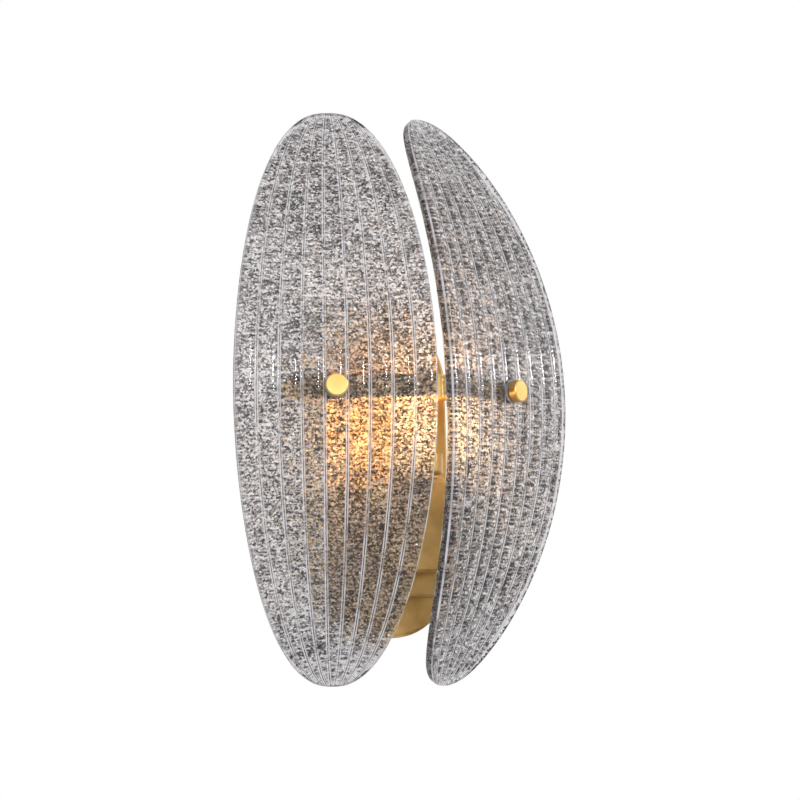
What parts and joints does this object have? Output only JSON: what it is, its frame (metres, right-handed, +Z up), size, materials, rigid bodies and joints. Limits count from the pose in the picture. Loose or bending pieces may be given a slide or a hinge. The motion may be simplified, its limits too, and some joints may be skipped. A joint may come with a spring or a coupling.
{
  "type": "wall sconce",
  "caption": "Wall sconce with a pair of tall bowed, ribbed clear-glass shells angled outward in front of a brass cross strap, lamp cup and pill-shaped wall plate.",
  "frame": {"origin": "centre of the wall bracket, on the wall plane", "axes": "+X right when facing the wall, +Y into the wall, +Z up"},
  "size_m": [0.2742, 0.109, 0.4196],
  "materials": {
    "shell_glass": "clear, granular",
    "satin_brass": "satin",
    "zinc_steel": "zinc plated",
    "clear_washer": "clear",
    "block_nylon": "matte",
    "bush_nylon": "matte",
    "holder_ceramic": "matte",
    "lead_silicone": "matte",
    "earth_silicone": "matte",
    "bulb_glass": "clear",
    "filament": "glowing wire"
  },
  "bodies": {
    "frame": {"left_stud": "zinc_steel", "right_stud": "zinc_steel", "rear_washers": "clear_washer", "lock_nuts": "satin_brass", "cross_strap": "satin_brass", "strap_posts": "satin_brass", "post_screws": "zinc_steel", "wall_plate": "satin_brass", "wall_bracket": "zinc_steel", "grub_screws": "satin_brass", "earth_screw": "satin_brass", "earth_washer": "zinc_steel", "earth_tag": "zinc_steel", "terminal_block": "block_nylon", "terminal_screws": "zinc_steel", "block_screws": "zinc_steel", "middle_housing": "satin_brass", "housing_screws": "satin_brass", "front_cover": "satin_brass", "inlet_bush": "bush_nylon", "lead_bush": "bush_nylon", "lamp_bracket": "satin_brass", "bracket_screws": "satin_brass", "cup_spacer": "satin_brass", "lamp_cup": "satin_brass", "cup_nipple": "zinc_steel", "nipple_nut": "zinc_steel", "holder_foot": "zinc_steel", "lamp_holder": "holder_ceramic", "holder_screws": "zinc_steel", "holder_contacts": "zinc_steel", "live_lead": "lead_silicone", "neutral_lead": "lead_silicone", "earth_lead": "earth_silicone"},
    "left_glass": {"left_shell": "shell_glass", "left_sleeve": "clear_washer", "left_front_washer": "clear_washer"},
    "right_glass": {"right_shell": "shell_glass", "right_sleeve": "clear_washer", "right_front_washer": "clear_washer"},
    "left_knob_nut": {"left_knob": "satin_brass"},
    "right_knob_nut": {"right_knob": "satin_brass"},
    "bulb": {"bulb_envelope": "bulb_glass", "bulb_base": "holder_ceramic", "bulb_pins": "zinc_steel", "bulb_filament": "filament"}
  },
  "joints": [
    {"name": "left_glass_swivel", "type": "hinge", "parent": "frame", "child": "left_glass", "pos_m": [-0.072, -0.08, 0.057], "axis": [-0.4179, -0.9085, 0], "range_deg": [-1, 3]},
    {"name": "right_glass_swivel", "type": "hinge", "parent": "frame", "child": "right_glass", "pos_m": [0.072, -0.08, 0.057], "axis": [0.4179, -0.9085, 0], "range_deg": [-3, 1]},
    {"name": "left_knob_turn", "type": "hinge", "parent": "frame", "child": "left_knob_nut", "pos_m": [-0.072, -0.08, 0.057], "axis": [-0.4179, -0.9085, 0], "continuous": true},
    {"name": "right_knob_turn", "type": "hinge", "parent": "frame", "child": "right_knob_nut", "pos_m": [0.072, -0.08, 0.057], "axis": [0.4179, -0.9085, 0], "continuous": true},
    {"name": "bulb_pull", "type": "slide", "parent": "frame", "child": "bulb", "axis": [0, 0, 1], "range_m": [0, 0.018]}
  ]
}
